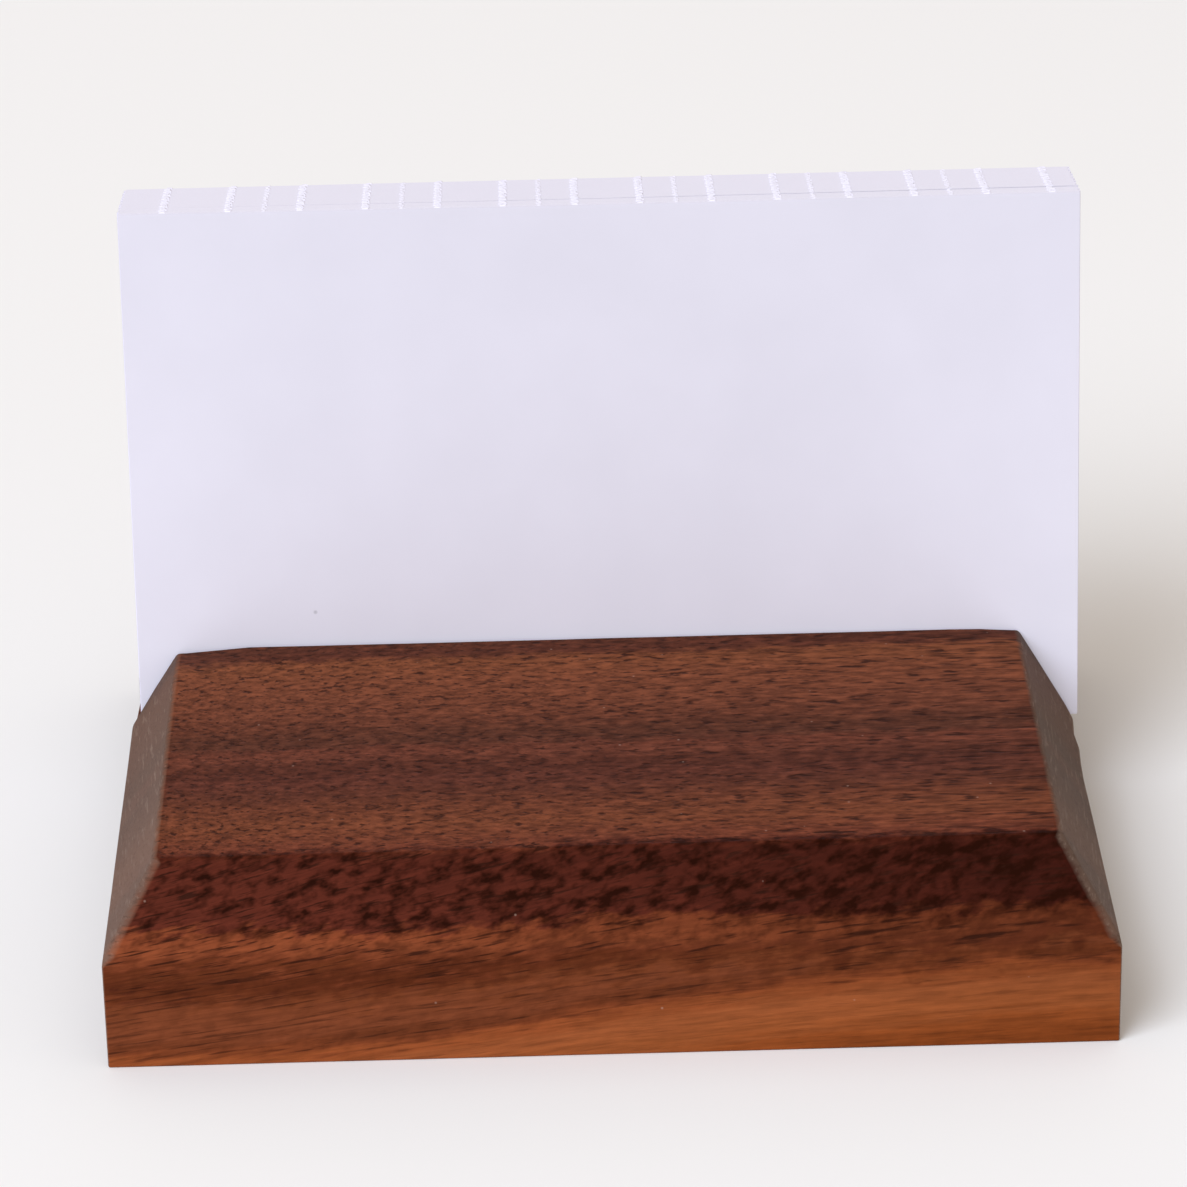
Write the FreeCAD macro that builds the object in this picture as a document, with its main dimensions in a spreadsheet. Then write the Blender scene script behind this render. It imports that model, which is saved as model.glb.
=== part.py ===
import FreeCAD, Part
import Sketcher
import math
import os

# Business card holder: one walnut block with a leaning slot, and the stack of plain cards it holds.
# Millimetres, +Z up, -Y towards the front, origin at the middle of the block's underside.

Vector = FreeCAD.Vector
tiny = 0.001
doc = FreeCAD.newDocument("card_holder")

# Driving dimensions: alias, value, meaning
sizes = [
    ("block_width", "88.9", "across the block, the same as a card"),
    ("block_depth", "76.2", "front face to rear face"),
    ("block_height", "18", "thickness of the sanded board"),
    ("edge_height", "10.2", "height of the upright faces under the bevels"),
    ("front_bevel_run", "5", "how far back the front bevel reaches"),
    ("rear_bevel_run", "5", "how far forward the rear bevel reaches"),
    ("end_bevel_run", "4.7", "how far in each end bevel reaches"),
    ("edge_softness", "0.6", "radius sanded on the corners and on the edges of the bevels"),
    ("rim_softness", "0.3", "radius sanded on the rims of the slot"),
    ("foot_chamfer", "0.25", "small chamfer round the underside"),
    ("slot_setback", "47.6", "front face to the slot's front rim, along the top"),
    ("slot_floor_height", "9.2", "height of the front edge of the slot's floor"),
    ("slot_tilt", "8", "degrees that the slot leans back"),
    ("slot_clearance", "0.25", "free room in front of the stack, where it comes nearest to the front wall"),
    ("saw_overrun", "2", "how far the saw cut runs out above the top"),
    ("card_width", "88.9", "standard card"),
    ("card_height", "50.8", "standard card"),
    ("card_thickness", "0.36", "14 point card stock"),
    ("card_gap", "0.015", "air between two cards"),
    ("card_count", "28", "cards in the stack"),
    ("card_shift", "0.9", "the stack stands this far to the right"),
    ("card_jitter", "0.12", "most that a card is out of line sideways"),
    ("front_group", "6", "cards at the front that stand fanned from the rest"),
    ("fan_opening", "0.35", "gap behind the front group at its right end"),
    ("nib_width", "0.6", "width of a torn perforation nib"),
    ("nib_height", "0.12", "how far a nib stands above the card's edge"),
    ("nib_pitch", "6.35", "mean spacing of the perforation's nibs"),
    ("nib_stagger", "0.3", "every second nib stands this much nearer to the one before it"),
    ("nib_inset", "4.1", "card's left edge to the middle of its first nib"),
]

sheet = doc.addObject("Spreadsheet::Sheet", "Sizes")
for row, (alias, value, meaning) in enumerate(sizes, start=1):
    sheet.set("A%d" % row, meaning)
    sheet.set("B%d" % row, value)
    sheet.setAlias("B%d" % row, alias)
doc.recompute()

# Formulas that several pieces share
card_pitch = "(Sizes.card_thickness + Sizes.card_gap)"
stack_front = "(Sizes.slot_clearance + Sizes.fan_opening)"
slot_width = "(%s + Sizes.card_count * %s)" % (stack_front, card_pitch)
rim_place = "(Sizes.slot_setback - Sizes.block_depth / 2)"
slot_foot = "(%s - (Sizes.block_height - Sizes.slot_floor_height) * tan(Sizes.slot_tilt))" % rim_place
first_nib = "(Sizes.card_width / 2 - Sizes.nib_inset + Sizes.nib_width / 2)"
second_nib = "(%s - Sizes.nib_pitch + Sizes.nib_stagger)" % first_nib
nib_pairs = "floor((%s + Sizes.card_width / 2) / (2 * Sizes.nib_pitch)) + 1" % second_nib

golden_turn = 137  # degrees from one card's sideways offset to the next, so that no two repeat


def origin_part(body, role):
    """A plane or an axis of the body's own origin."""
    return next(item for item in body.Origin.OriginFeatures if item.Role == role)


def new_sketch(body, name, role):
    sketch = body.newObject("Sketcher::SketchObject", name)
    sketch.AttachmentSupport = [(origin_part(body, role), "")]
    sketch.MapMode = "FlatFace"
    return sketch


def closed_outline(sketch, corners):
    """Lines through the corners, each one's end joined to the next one's start. Gives their numbers."""
    lines = [sketch.addGeometry(Part.LineSegment(Vector(*start, 0), Vector(*end, 0)), False)
             for start, end in zip(corners, corners[1:] + corners[:1])]
    for line, following in zip(lines, lines[1:] + lines[:1]):
        sketch.addConstraint(Sketcher.Constraint("Coincident", line, 2, following, 1))
    return lines


def level(sketch, *lines):
    for line in lines:
        sketch.addConstraint(Sketcher.Constraint("Horizontal", line))


def upright(sketch, *lines):
    for line in lines:
        sketch.addConstraint(Sketcher.Constraint("Vertical", line))


def drive(sketch, kind, places, formula, first_value):
    """A dimension of the sketch that follows a formula of the sheet's values."""
    number = sketch.addConstraint(Sketcher.Constraint(kind, *places, first_value))
    sketch.setExpression("Constraints[%d]" % number, formula)


def edges_of(feature, wanted):
    """Names of the feature's edges that pass the test."""
    return ["Edge%d" % number for number, edge in enumerate(feature.Shape.Edges, start=1) if wanted(edge)]


def soften(body, kind, name, base, edges, property_name, alias):
    """A fillet or a chamfer on named edges of the base feature. It becomes the body's tip."""
    feature = body.newObject(kind, name)
    feature.Base = (base, edges)
    feature.setExpression(property_name, "Sizes.%s" % alias)
    body.Tip = feature
    doc.recompute()
    return feature


def build_block():
    """The block: its side profile across the width, the end bevels, the sanded edges and the slot."""
    body = doc.addObject("PartDesign::Body", "HolderBlock")
    body.Label = "holder_block"

    # Side profile, seen from the right-hand end: the sketch's X runs back and its Y runs up
    profile = new_sketch(body, "SideProfile", "YZ_Plane")
    foot, rear_face, rear_bevel, top, front_bevel, front_face = closed_outline(
        profile, [(-38, 0), (38, 0), (38, 10), (33, 18), (-33, 18), (-38, 10)])
    level(profile, foot, top)
    upright(profile, rear_face, front_face)
    profile.addConstraint(Sketcher.Constraint("Symmetric", foot, 1, foot, 2, -1, 1))
    drive(profile, "DistanceX", (foot, 1, foot, 2), "Sizes.block_depth", 76)
    drive(profile, "DistanceY", (foot, 2, rear_bevel, 1), "Sizes.edge_height", 10)
    drive(profile, "DistanceY", (foot, 1, front_bevel, 2), "Sizes.edge_height", 10)
    drive(profile, "DistanceY", (foot, 1, front_bevel, 1), "Sizes.block_height", 18)
    drive(profile, "DistanceX", (front_bevel, 2, front_bevel, 1), "Sizes.front_bevel_run", 5)
    drive(profile, "DistanceX", (rear_bevel, 2, rear_bevel, 1), "Sizes.rear_bevel_run", -5)
    stock = body.newObject("PartDesign::Pad", "Stock")
    stock.Profile = profile
    stock.SideType = "Symmetric"
    stock.setExpression("Length", "Sizes.block_width")

    # End bevel: a wedge planed off the right-hand end, then the same on the left
    wedge = new_sketch(body, "EndWedge", "XZ_Plane")
    end_face, top, bevel = closed_outline(wedge, [(44, 10), (44, 18), (39, 18)])
    upright(wedge, end_face)
    level(wedge, top)
    drive(wedge, "DistanceX", (-1, 1, end_face, 2), "Sizes.block_width / 2", 44)
    drive(wedge, "DistanceY", (-1, 1, end_face, 2), "Sizes.block_height", 18)
    drive(wedge, "DistanceY", (-1, 1, end_face, 1), "Sizes.edge_height", 10)
    drive(wedge, "DistanceX", (bevel, 1, end_face, 2), "Sizes.end_bevel_run", 5)
    end_bevel = body.newObject("PartDesign::Pocket", "EndBevel")
    end_bevel.Profile = wedge
    end_bevel.Type = "ThroughAll"
    end_bevel.SideType = "Symmetric"
    both_ends = body.newObject("PartDesign::Mirrored", "BothEndBevels")
    both_ends.Originals = [end_bevel]
    both_ends.MirrorPlane = (origin_part(body, "YZ_Plane"), [""])
    body.Tip = both_ends
    doc.recompute()

    # Sanding: every edge above the underside is rounded, and the underside gets a small chamfer
    bevelled = edges_of(both_ends, lambda edge: edge.BoundBox.ZMax > tiny)
    sanded = soften(body, "PartDesign::Fillet", "SandedEdges", both_ends, bevelled, "Radius", "edge_softness")
    underside = edges_of(sanded, lambda edge: edge.BoundBox.ZMax < tiny)
    soften(body, "PartDesign::Chamfer", "FootChamfer", sanded, underside, "Size", "foot_chamfer")

    # Slot: a saw cut with its floor square to its walls, leaning back, out through both ends
    section = new_sketch(body, "SlotSection", "YZ_Plane")
    floor, rear_wall, mouth, front_wall = closed_outline(section, [(8, 9), (19, 7.5), (21, 20), (10, 21.5)])
    rim = section.addGeometry(Part.Point(Vector(9.5, 18, 0)), True)
    section.addConstraint(Sketcher.Constraint("Perpendicular", floor, rear_wall))
    section.addConstraint(Sketcher.Constraint("Perpendicular", rear_wall, mouth))
    section.addConstraint(Sketcher.Constraint("Parallel", rear_wall, front_wall))
    section.addConstraint(Sketcher.Constraint("PointOnObject", rim, 1, front_wall))
    drive(section, "Angle", (rear_wall, 1, -2, 1), "Sizes.slot_tilt", math.radians(8))
    drive(section, "Distance", (floor, 1, floor, 2), slot_width, 11)
    drive(section, "DistanceX", (-1, 1, rim, 1), rim_place, 9.5)
    drive(section, "DistanceY", (-1, 1, rim, 1), "Sizes.block_height", 18)
    drive(section, "DistanceY", (-1, 1, floor, 1), "Sizes.slot_floor_height", 9)
    drive(section, "DistanceY", (-1, 1, mouth, 1), "Sizes.block_height + Sizes.saw_overrun", 20)
    slot = body.newObject("PartDesign::Pocket", "CardSlot")
    slot.Profile = section
    slot.Type = "ThroughAll"
    slot.SideType = "Symmetric"
    body.Tip = slot
    doc.recompute()

    # Rims: the slot's two long edges in the top face, eased so that cards don't catch
    top_height = sheet.get("block_height") - tiny
    front_rim = sheet.get("slot_setback") - sheet.get("block_depth") / 2 - tiny
    rear_limit = sheet.get("block_depth") / 2 - sheet.get("rear_bevel_run") - sheet.get("edge_softness")

    def on_rim(edge):
        box = edge.BoundBox
        return box.ZMin > top_height and box.XLength > box.YLength and front_rim < box.Center.y < rear_limit

    soften(body, "PartDesign::Fillet", "EasedRims", slot, edges_of(slot, on_rim), "Radius", "rim_softness")
    return body


def build_card(index):
    """One card: a flat sheet with the torn nibs that its perforation left along the top edge."""
    body = doc.addObject("PartDesign::Body", "Card%02d" % (index + 1))
    body.Label = "card_%02d" % (index + 1)

    # Sheet, seen from the front: the card's own origin is at the middle of its lower front edge
    outline = new_sketch(body, "CardOutline", "XZ_Plane")
    foot, right, top, left = closed_outline(outline, [(-44, 0), (44, 0), (44, 50), (-44, 50)])
    level(outline, foot, top)
    upright(outline, right, left)
    outline.addConstraint(Sketcher.Constraint("Symmetric", foot, 1, foot, 2, -1, 1))
    drive(outline, "DistanceX", (foot, 1, foot, 2), "Sizes.card_width", 88)
    drive(outline, "DistanceY", (foot, 2, right, 2), "Sizes.card_height", 50)
    card = body.newObject("PartDesign::Pad", "CardStock")
    card.Profile = outline
    card.Reversed = True
    card.setExpression("Length", "Sizes.card_thickness")

    # First two nibs, then the row of such pairs along the top edge
    tabs = new_sketch(body, "NibPairOutline", "XZ_Plane")
    for left_side, start in ((first_nib, 41), (second_nib, 35)):
        foot, right, top, left = closed_outline(
            tabs, [(-start, 50), (1 - start, 50), (1 - start, 51), (-start, 51)])
        level(tabs, foot, top)
        upright(tabs, right, left)
        drive(tabs, "DistanceX", (foot, 1, -1, 1), left_side, start)
        drive(tabs, "DistanceY", (-1, 1, foot, 1), "Sizes.card_height", 50)
        drive(tabs, "DistanceX", (foot, 1, foot, 2), "Sizes.nib_width", 1)
        drive(tabs, "DistanceY", (foot, 2, right, 2), "Sizes.nib_height", 1)
    pair = body.newObject("PartDesign::Pad", "NibPair")
    pair.Profile = tabs
    pair.Reversed = True
    pair.setExpression("Length", "Sizes.card_thickness")
    row = body.newObject("PartDesign::LinearPattern", "NibRow")
    row.Originals = [pair]
    row.Direction = (tabs, ["H_Axis"])
    row.Mode = "Spacing"
    row.setExpression("Offset", "2 * Sizes.nib_pitch")
    row.setExpression("Occurrences", nib_pairs)
    body.Tip = row

    # Place: on the slot's floor, counted back from its front wall, with the front group fanned open
    behind = "(%s + %d * %s)" % (stack_front, index, card_pitch)
    turn = "0"
    if index < sheet.get("front_group"):
        behind = "(%s - Sizes.fan_opening / 2)" % behind
        turn = "asin((0 - Sizes.fan_opening) / Sizes.card_width)"
    side = "Sizes.card_shift + Sizes.card_jitter * sin(%d * %d)" % (golden_turn, index)
    back = "%s + %s * cos(Sizes.slot_tilt)" % (slot_foot, behind)
    height = "Sizes.slot_floor_height - %s * sin(Sizes.slot_tilt)" % behind
    lean = "rotationx(0 - Sizes.slot_tilt) * rotationz(%s)" % turn
    body.setExpression("Placement", "placement(vector(%s; %s; %s); %s)" % (side, back, height, lean))
    return body


pieces = [build_block()]
pieces += [build_card(index) for index in range(int(sheet.get("card_count")))]
doc.recompute()

failed = {item.Label for item in doc.Objects if "Invalid" in item.State or "Error" in item.State}
failed |= {piece.Label for piece in pieces if piece.Shape.isNull() or not piece.Shape.isValid()}
if failed:
    raise SystemExit("Not built: " + ", ".join(sorted(failed)))

os.makedirs("parts", exist_ok=True)
for piece in pieces:
    piece.Shape.exportStep("parts/%s.step" % piece.Label)
    box = piece.Shape.BoundBox
    print("%-14s %9.1f mm3  %s" % (piece.Label, piece.Shape.Volume, box))
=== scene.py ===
import math

import bpy
from mathutils import Matrix, Vector


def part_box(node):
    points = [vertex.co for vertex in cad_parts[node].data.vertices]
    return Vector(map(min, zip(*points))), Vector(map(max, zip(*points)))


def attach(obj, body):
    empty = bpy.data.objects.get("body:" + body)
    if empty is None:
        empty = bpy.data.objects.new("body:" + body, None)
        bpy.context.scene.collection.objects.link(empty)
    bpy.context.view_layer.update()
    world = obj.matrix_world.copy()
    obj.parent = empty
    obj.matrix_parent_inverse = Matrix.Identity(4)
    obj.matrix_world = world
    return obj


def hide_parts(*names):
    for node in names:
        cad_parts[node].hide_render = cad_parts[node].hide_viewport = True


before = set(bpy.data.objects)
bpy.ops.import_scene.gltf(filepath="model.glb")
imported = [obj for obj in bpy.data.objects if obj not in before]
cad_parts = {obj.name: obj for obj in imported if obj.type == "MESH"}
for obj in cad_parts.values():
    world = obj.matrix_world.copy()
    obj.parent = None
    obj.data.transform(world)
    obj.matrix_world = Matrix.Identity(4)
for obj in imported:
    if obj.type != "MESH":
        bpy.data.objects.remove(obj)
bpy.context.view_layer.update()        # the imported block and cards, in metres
mm = 0.001
tiny = 0.01 * mm        # shorter than anything that is modelled here


# Small helpers

def toLinear(hexColour):
    # sRGB hex, as picked in an image editor, to the linear values that the shader nodes take
    values = []
    for place in (1, 3, 5):
        value = int(hexColour[place:place + 2], 16) / 255
        values.append(value / 12.92 if value <= 0.04045 else ((value + 0.055) / 1.055) ** 2.4)
    return (*values, 1.0)


def addNode(tree, kind, settings=None, links=None):
    # one node with its settings; a key is a socket's name or number, or else one of the node's own options
    node = tree.nodes.new(kind)
    for key, value in (settings or {}).items():
        if isinstance(key, str) and hasattr(node, key):
            setattr(node, key, value)
        else:
            node.inputs[key].default_value = value
    for key, source in (links or {}).items():
        tree.links.new(source, node.inputs[key])
    return node


def newMaterial(name):
    material = bpy.data.materials.new(name)
    material.use_nodes = True
    material.node_tree.nodes.clear()
    return material


def selectOnly(piece):
    if bpy.context.mode != "OBJECT":
        bpy.ops.object.mode_set(mode="OBJECT")
    bpy.ops.object.select_all(action="DESELECT")
    if piece:
        bpy.context.view_layer.objects.active = piece
        piece.select_set(True)


def pickInMesh(piece, wanted, elements):
    # edit mode with just the faces, or vertices, whose middle and normal pass the test
    selectOnly(piece)
    bpy.ops.object.mode_set(mode="EDIT")
    bpy.ops.mesh.select_mode(type="FACE" if elements == "faces" else "VERT")
    bpy.ops.mesh.select_all(action="DESELECT")
    bpy.ops.object.mode_set(mode="OBJECT")
    if elements == "faces":
        for face in piece.data.polygons:
            face.select = wanted(face.center, face.normal)
    else:
        for vertex in piece.data.vertices:
            vertex.select = wanted(vertex.co, vertex.normal)
    bpy.ops.object.mode_set(mode="EDIT")


def applyModifier(piece, kind, **settings):
    selectOnly(piece)
    bpy.ops.object.modifier_add(type=kind)
    modifier = piece.modifiers[-1]
    for key, value in settings.items():
        setattr(modifier, key, value)
    bpy.ops.object.modifier_apply(modifier=modifier.name)


def placeInMesh(piece):
    # the piece's place goes into its mesh, and its object to the origin
    selectOnly(piece)
    bpy.ops.object.transform_apply(location=True, rotation=True, scale=True)


def cubeBetween(name, low, high):
    selectOnly(None)
    size = [top - bottom for bottom, top in zip(low, high)]
    middle = [(top + bottom) / 2 for bottom, top in zip(low, high)]
    bpy.ops.mesh.primitive_cube_add(size=1, location=middle, scale=size)
    cube = bpy.context.object
    cube.name = name
    cube.data.name = name
    placeInMesh(cube)
    return cube


def cutPlane(piece, point, normal, cutAway=False):
    # a plane through the piece: it leaves an edge loop, or takes off what is on the normal's side
    selectOnly(piece)
    bpy.ops.object.mode_set(mode="EDIT")
    bpy.ops.mesh.select_all(action="SELECT")
    bpy.ops.mesh.bisect(plane_co=point, plane_no=normal, use_fill=cutAway, clear_outer=cutAway,
                        threshold=1e-7)
    bpy.ops.object.mode_set(mode="OBJECT")


def weld(piece):
    # points that lie on each other become one
    selectOnly(piece)
    bpy.ops.object.mode_set(mode="EDIT")
    bpy.ops.mesh.select_all(action="SELECT")
    bpy.ops.mesh.remove_doubles(threshold=0.002 * mm)
    bpy.ops.object.mode_set(mode="OBJECT")


# Camera: the photograph's, found from the corners of the block and of the front card

cameraView = {
    "place": (-6.29, -442.29, 232.38),        # mm
    "pitch": -24.904,        # degrees, down
    "yaw": -0.744,
    "roll": -1.153,
    "lens": 160.38,        # mm, on a 36 mm wide sensor
    "sensor": 36.0,
}


def addCamera(view):
    turn = Matrix.Rotation(math.radians(view["yaw"]), 3, "Z")
    turn = turn @ Matrix.Rotation(math.radians(90 + view["pitch"]), 3, "X")
    turn = turn @ Matrix.Rotation(math.radians(view["roll"]), 3, "Z")
    place = [value * mm for value in view["place"]]
    bpy.ops.object.camera_add(location=place, rotation=turn.to_euler())
    camera = bpy.context.object
    camera.name = "photoCamera"
    camera.data.lens = view["lens"]
    camera.data.sensor_width = view["sensor"]
    camera.data.sensor_fit = "HORIZONTAL"
    camera.data.clip_start = 0.01
    bpy.context.scene.camera = camera


addCamera(cameraView)
print("camera set")


# Materials

walnutLook = {
    "fibreRise": 0.105,        # how steeply the fibres climb towards the right, at the middle
    "fibreBend": 0.0009,        # per mm, and how much that eases off further right
    "fibreDive": 0.0046,        # per square mm of height, how much steeper they climb towards the top
    "wanderSize": 24.0,        # mm, between gentle bends of the fibres
    "wanderDepth": 1.1,        # mm
    "ringLean": 0.35,        # how far the growth layers lean off upright
    "ringMiddle": 9.0,        # mm, height at which a layer's place below is counted
    "ringSkew": -0.012,        # how far the layers turn off the length of the board
    "raggedSize": (2.8, 1.2, 1.2),        # mm, along and across the fibres, of a layer's ragged edges
    "raggedDepth": 3.8,        # mm
    "growthLayers": [        # mm from the front to the back, colour of the wood, share of dark patches
        (-46.0, "#8c4a24", 0.00), (-39.2, "#8c4a24", 0.00), (-38.0, "#562712", 0.20),
        (-37.3, "#6c351f", 0.25), (-36.6, "#7f4126", 0.42), (-35.6, "#7e3f25", 0.62),
        (-35.0, "#58261a", 0.95), (-30.6, "#512217", 1.00), (-29.6, "#542518", 0.85),
        (-28.7, "#6d3826", 0.25), (-24.5, "#733f28", 0.16), (-20.4, "#683825", 0.20),
        (-19.0, "#5f3323", 0.26), (-15.6, "#5d3124", 0.30), (-14.2, "#562d20", 0.36),
        (-12.6, "#582e20", 0.36), (-11.0, "#683828", 0.20), (-9.6, "#663626", 0.20),
        (-8.4, "#593223", 0.34), (-6.4, "#593121", 0.34), (-4.2, "#653725", 0.28),
        (-1.4, "#6d3c28", 0.20), (4.6, "#75412a", 0.18), (8.6, "#774329", 0.20),
        (10.2, "#582e20", 0.36), (13.0, "#582f20", 0.36), (14.6, "#6c3b26", 0.20),
        (22.0, "#673722", 0.10), (26.0, "#55301f", 0.20), (29.5, "#77422a", 0.10),
        (37.0, "#7b4226", 0.15), (46.0, "#6f3e24", 0.10)],
    "frontRise": (-35.0, 40.0, 1.6, 8.9),        # mm, along and up: the front's lighter wood ends there
    "frontLayers": [        # mm above that, colour of the wood, strength of the pores in it
        (-7.6, "#8d4820", 0.20), (-6.0, "#954e25", 0.15), (-4.6, "#9c562e", 0.10), (-2.4, "#98542f", 0.15),
        (-1.0, "#8f4b28", 0.25), (-0.3, "#7c3f23", 0.55), (0.5, "#6c371f", 0.60), (1.6, "#783f26", 0.45),
        (3.9, "#753d24", 0.45), (4.7, "#66331e", 0.60), (5.6, "#4f2313", 0.60), (6.8, "#502516", 0.60),
        (7.8, "#6b361f", 0.60)],
    "frontRagged": (6.5, 0.9, 0.60),        # mm, along and across the fibres
    "frontRaggedDepth": 3.4,        # mm
    "frontReach": (-38.9, -37.4),        # mm, where the front's wood gives way to the growth layers
    # painted shade on the front bevel, and less of it on the front below, deepening towards the right
    "paintedShadeReach": (-25.0, 42.0),        # mm, along the bevel, over which the painted shade deepens
    "paintedShadeLayers": (-30.5, -29.0),        # mm, where the painted shade begins, at the dark layer
    "paintedShadeDepth": 0.70,
    "paintedShadeColour": "#1a0100",
    "paintedShadeEases": (-38.6, -35.4),        # mm, where the painted shade gives way again, towards the front
    "paintedShadeFront": 0.38,        # how much of the painted shade is left there
    "streakSize": (6.0, 0.60, 0.42),        # mm, along and across the fibres
    "streakTone": (0.48, 1.40),
    "calmStreaks": 0.55,        # how much weaker the streaks are in the first layers and on the front
    "frontPatches": 0.45,        # how strong the dark patches are on the front, for the pores there
    "poreSize": (4.5, 0.50, 0.32),        # mm, spacing of the pores along and across the fibres
    "poreEdges": (0.55, 0.68),        # noise, where a pore begins and where it is full
    "poreDepth": 0.85,
    "poreColour": "#2a120a",
    "patchSize": (1.4, 0.80, 3.0),        # mm, along, up and into the bevel
    "patchSlant": 20.0,        # degrees, how steeply the patches climb to the right
    "patchGrowth": 0.0010,        # per mm, how the patches grow towards the right
    "patchEdges": (0.41, 0.66),        # noise, where a patch begins and where it is full
    "patchColour": "#200600",
    "bevelSlope": 57.3,        # degrees
    "reliefDepth": 0.06,        # mm, how far the pores and patches lie below the surface
    # painted sheen: the ends are mixed towards greyer colours for their grazing reflection
    "endDullnessAndSheen": (-38.0, 10.0, 0.80, 0.62),        # mm, front and rear, and how far the ends are dulled and greyed by a painted sheen there
    "endDullAndSheenColours": ("#6c594f", "#63554b"),        # what they dull to with the painted sheen, left and right; the right one darker, as painted shade
    "endTone": (-34.0, 8.0, 1.04, 0.72),        # mm, front and rear, and how bright the ends are there
    "endPoreDepth": 0.30,
    "endPoreColour": "#3d2a22",
    "scratchSize": (0.45, 6.0, 0.40),        # mm, of the fine sanding scratches on the ends
    "scratchTurn": 10.0,        # degrees
    "scratchEdges": (0.56, 0.80),        # noise
    "scratchDepth": 0.32,
    "scratchColour": "#b5a295",
    "endEdges": (0.10, 0.62),        # how far sideways a surface faces where the end grain begins and is full
    # painted highlights on the rounded rims of the ends, where the light catches them
    "leftRimHighlight": (-0.06, -0.35, 0.22),        # facing where the rim's painted highlight begins and is full, and its strength
    "leftRimHighlightColour": "#9c6040",
    "rightRimHighlight": (0.87, 0.92, 0.95, 0.99, 0.15),        # begins, is full, begins to end, has ended, strength
    "rightRimHighlightColour": "#b0a08e",
    # painted shade on the slot's front wall and rims, tinted by a painted reflection of the cards
    "slotWallShade": (0.10, 0.55, 0.75),        # facing backwards where the painted shade begins, is full, strength
    "slotShadeReach": 12.0,        # mm, only what lies before this gets the painted shade
    "slotShadeColour": "#3c2c33",
    "dustSpacing": 3.4,        # mm
    "dustSize": 0.15,        # mm
    "dustDepth": 0.26,
    "dustColour": "#c9ab9c",
}


def boardPlace(tree, look):
    # place in the board in mm, gently bent, and the same along and across the climbing fibres
    coords = addNode(tree, "ShaderNodeTexCoord")
    place = addNode(tree, "ShaderNodeVectorMath", {"operation": "SCALE", "Scale": 1 / mm},
                    {0: coords.outputs["Object"]})
    wander = addNode(tree, "ShaderNodeTexNoise", {"Scale": 1 / look["wanderSize"], "Detail": 1.0},
                     {"Vector": place.outputs["Vector"]})
    centred = addNode(tree, "ShaderNodeVectorMath", {"operation": "SUBTRACT", 1: (0.5, 0.5, 0.5)},
                      {0: wander.outputs["Color"]})
    depth = look["wanderDepth"]
    bent = addNode(tree, "ShaderNodeVectorMath", {"operation": "MULTIPLY_ADD", 1: (0, depth, depth)},
                   {0: centred.outputs["Vector"], 2: place.outputs["Vector"]})
    axes = addNode(tree, "ShaderNodeSeparateXYZ", links={"Vector": bent.outputs["Vector"]})
    climb = addNode(tree, "ShaderNodeMath", {
        "operation": "MULTIPLY_ADD", 1: look["fibreBend"], 2: -look["fibreRise"]}, {0: axes.outputs["X"]})
    square = addNode(tree, "ShaderNodeMath", {"operation": "MULTIPLY"},
                     {0: axes.outputs["Z"], 1: axes.outputs["Z"]})
    dive = addNode(tree, "ShaderNodeMath", {"operation": "MULTIPLY_ADD", 1: look["fibreDive"], 2: 1.0},
                   {0: square.outputs["Value"]})
    slope = addNode(tree, "ShaderNodeMath", {"operation": "MULTIPLY"},
                    {0: climb.outputs["Value"], 1: dive.outputs["Value"]})
    across = addNode(tree, "ShaderNodeMath", {"operation": "MULTIPLY_ADD"}, {
        0: slope.outputs["Value"], 1: axes.outputs["X"], 2: axes.outputs["Z"]})
    fibres = addNode(tree, "ShaderNodeCombineXYZ", links={
        "X": axes.outputs["X"], "Y": axes.outputs["Y"], "Z": across.outputs["Value"]})
    return bent, axes, fibres


def alongFibres(tree, fibres, kind, size, settings):
    # a texture stretched along the fibres, with the size of one of its cells in mm
    stretch = addNode(tree, "ShaderNodeMapping", {"Scale": [1 / length for length in size]},
                      {"Vector": fibres.outputs["Vector"]})
    return addNode(tree, kind, {"Scale": 1.0, **settings}, {"Vector": stretch.outputs["Vector"]})


def rampOf(tree, stops, value):
    # a colour ramp over places in mm; a stop's third value is kept as its alpha
    first, last = stops[0][0], stops[-1][0]
    along = addNode(tree, "ShaderNodeMapRange", {"From Min": first, "From Max": last}, {"Value": value})
    ramp = addNode(tree, "ShaderNodeValToRGB", links={"Fac": along.outputs["Result"]})
    elements = ramp.color_ramp.elements
    while len(elements) < len(stops):
        elements.new(0.5)
    for element, (where, colour, *share) in zip(elements, stops):
        element.position = (where - first) / (last - first)
        element.color = (*toLinear(colour)[:3], share[0] if share else 1.0)
    return ramp


def growthRing(tree, look, axes, fibres):
    # which growth layer a place is in: nearly upright sheets along the board, with ragged edges
    ragged = alongFibres(tree, fibres, "ShaderNodeTexNoise", look["raggedSize"],
                         {"Detail": 3.0, "Roughness": 0.55})
    depth = look["raggedDepth"]
    shift = addNode(tree, "ShaderNodeMath", {
        "operation": "MULTIPLY_ADD", 1: depth, 2: -depth / 2 - look["ringLean"] * look["ringMiddle"]},
        {0: ragged.outputs["Fac"]})
    leaning = addNode(tree, "ShaderNodeMath", {"operation": "MULTIPLY_ADD", 1: look["ringLean"]},
                      {0: axes.outputs["Z"], 2: shift.outputs["Value"]})
    skewed = addNode(tree, "ShaderNodeMath", {"operation": "MULTIPLY_ADD", 1: look["ringSkew"]},
                     {0: axes.outputs["X"], 2: leaning.outputs["Value"]})
    return addNode(tree, "ShaderNodeMath", {"operation": "ADD"},
                   {0: axes.outputs["Y"], 1: skewed.outputs["Value"]})


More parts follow.
